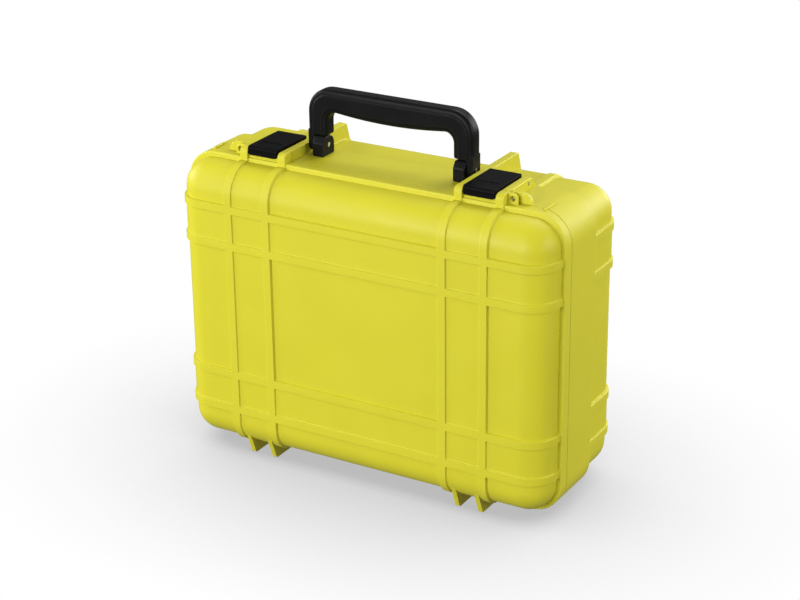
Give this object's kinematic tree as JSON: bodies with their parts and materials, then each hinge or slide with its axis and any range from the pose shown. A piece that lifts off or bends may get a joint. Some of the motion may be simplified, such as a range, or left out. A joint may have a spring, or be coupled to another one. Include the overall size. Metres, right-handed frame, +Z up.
{
  "type": "hard tool case with tray",
  "caption": "Hard-shell tool case standing on its hinge side, with latches, a folding top handle and a divided lift-out tray inside.",
  "frame": {"origin": "on the ground, under the middle of the case's width and depth, with the case standing on its foot rails", "axes": "+X to the right across the front, +Y from the lid's front to the base's back, +Z up towards the handle"},
  "size_m": [0.482, 0.19, 0.44],
  "materials": {
    "yellow_shell": "satin fine-grained moulded plastic",
    "seal_rubber": "matt moulded rubber",
    "steel": "drawn stainless rod",
    "black_latch": "satin black moulded plastic",
    "black_handle": "satin black moulded plastic",
    "grey_foam": "open-cell foam",
    "grey_tray": "fine-grained moulded plastic",
    "dark_divider": "fine-grained plastic sheet"
  },
  "bodies": {
    "base": {"base_foam": "grey_foam", "base_shell": "yellow_shell", "bracket_screws_left": "steel", "bracket_screws_right": "steel", "handle_bracket_left": "black_handle", "handle_bracket_right": "black_handle", "handle_pin_left": "steel", "handle_pin_right": "steel", "hinge_pin_left": "steel", "hinge_pin_right": "steel", "latch_pin_left": "steel", "latch_pin_right": "steel", "tray_rest_left": "dark_divider", "tray_rest_right": "dark_divider"},
    "lid": {"lid_shell": "yellow_shell", "lid_seal": "seal_rubber", "lid_foam": "grey_foam"},
    "latch_left": {"latch_left": "black_latch"},
    "latch_right": {"latch_right": "black_latch"},
    "handle": {"handle_bow": "black_handle"},
    "tray": {"tray_divider_lower_1": "dark_divider", "tray_divider_lower_2": "dark_divider", "tray_divider_upper_1": "dark_divider", "tray_divider_upper_2": "dark_divider", "tray_long_divider": "dark_divider", "tray_shell": "grey_tray"}
  },
  "joints": [
    {"name": "lid_hinge", "type": "hinge", "parent": "base", "child": "lid", "pos_m": [0, -0.043, 0.0045], "axis": [1, 0, 0], "range_deg": [0, 100]},
    {"name": "latch_left_hinge", "type": "hinge", "parent": "base", "child": "latch_left", "pos_m": [-0.1375, -0.001, 0.368], "axis": [-1, 0, 0], "range_deg": [0, 95]},
    {"name": "latch_right_hinge", "type": "hinge", "parent": "base", "child": "latch_right", "pos_m": [0.1375, -0.001, 0.368], "axis": [-1, 0, 0], "range_deg": [0, 95]},
    {"name": "handle_fold", "type": "hinge", "parent": "base", "child": "handle", "pos_m": [0, -0.003, 0.373], "axis": [-1, 0, 0], "range_deg": [0, 90]},
    {"name": "tray_slide", "type": "slide", "parent": "base", "child": "tray", "axis": [0, -1, 0], "range_m": [0, 0.0875]}
  ],
  "couplings": [
    {"joint": "tray_slide", "follows": "lid_hinge", "m_per_rad": 0.05}
  ]
}
